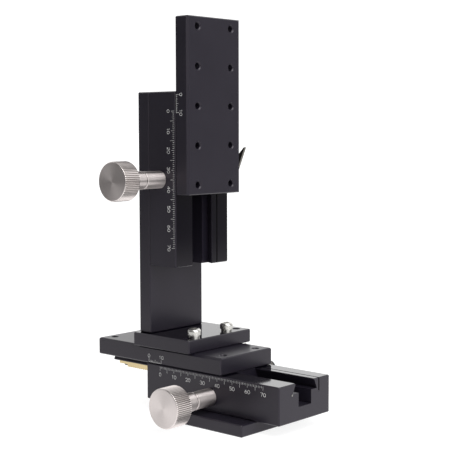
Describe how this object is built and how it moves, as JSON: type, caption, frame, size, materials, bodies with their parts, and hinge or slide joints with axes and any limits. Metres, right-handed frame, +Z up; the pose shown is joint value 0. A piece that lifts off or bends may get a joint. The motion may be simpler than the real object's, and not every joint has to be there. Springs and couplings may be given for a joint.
{
  "type": "manual adjustment stage",
  "caption": "Two-axis manual stage: a flat and an upright dovetail slide, each moved by a knurled knob through a rack and pinion, with gib clamps.",
  "frame": {"origin": "centre of the foot plate's underside", "axes": "+Z up, +X along the lower slide towards its open dovetail end and out of the upright table's face, -Y towards the knobs"},
  "size_m": [0.1278, 0.0833, 0.2045],
  "materials": {
    "black_anodised": "satin black anodised",
    "stainless": "turned bright",
    "dark_steel": "satin",
    "brass": "milled",
    "black_steel": "black oxide",
    "grey_lever": "dark satin"
  },
  "bodies": {
    "base": {"foot_plate": "black_anodised", "foot_screws": "black_steel", "x_body": "black_anodised", "x_end_pin": "stainless", "x_bushing": "stainless", "x_end_bush": "brass", "x_gib_screws": "black_steel"},
    "x_carriage": {"x_table": "black_anodised", "x_rack": "brass", "x_rack_screws": "black_steel", "bracket_plate": "black_anodised", "bracket_screws": "stainless", "lock_washers": "stainless", "column": "black_anodised", "column_screws": "black_steel", "upright_screws": "black_steel", "z_body": "black_anodised", "z_end_pin": "stainless", "z_bushing": "stainless", "z_end_bush": "brass", "z_gib_screws": "black_steel"},
    "z_carriage": {"z_table": "black_anodised", "z_rack": "brass", "z_rack_screws": "black_steel"},
    "x_drive": {"x_pinion_shaft": "stainless", "x_knob": "stainless", "x_knob_screw": "black_steel", "x_thrust_washer": "dark_steel"},
    "z_drive": {"z_pinion_shaft": "stainless", "z_knob": "stainless", "z_knob_screw": "black_steel", "z_thrust_washer": "dark_steel"},
    "x_clamp": {"x_clamp_lever": "grey_lever", "x_clamp_screw": "black_steel"},
    "z_clamp": {"z_clamp_lever": "grey_lever", "z_clamp_screw": "black_steel"}
  },
  "joints": [
    {"name": "x_slide", "type": "slide", "parent": "base", "child": "x_carriage", "axis": [1, 0, 0], "range_m": [0, 0.075]},
    {"name": "z_slide", "type": "slide", "parent": "x_carriage", "child": "z_carriage", "axis": [0, 0, -1], "range_m": [0, 0.069]},
    {"name": "x_knob_turn", "type": "hinge", "parent": "base", "child": "x_drive", "pos_m": [0, -0.02, 0.0136], "axis": [0, 1, 0], "range_deg": [0, 1432.4]},
    {"name": "z_knob_turn", "type": "hinge", "parent": "x_carriage", "child": "z_drive", "pos_m": [-0.0344, -0.02, 0.122], "axis": [0, 1, 0], "range_deg": [0, 1317.9]},
    {"name": "x_clamp_turn", "type": "hinge", "parent": "base", "child": "x_clamp", "pos_m": [0, 0.02, 0.0215], "axis": [0, -1, 0], "range_deg": [0, 60]},
    {"name": "z_clamp_turn", "type": "hinge", "parent": "x_carriage", "child": "z_clamp", "pos_m": [-0.0265, 0.02, 0.122], "axis": [0, -1, 0], "range_deg": [0, 60]}
  ],
  "couplings": [
    {"joint": "x_knob_turn", "follows": "x_slide", "rad_per_m": 333.33},
    {"joint": "z_knob_turn", "follows": "z_slide", "rad_per_m": 333.33}
  ]
}
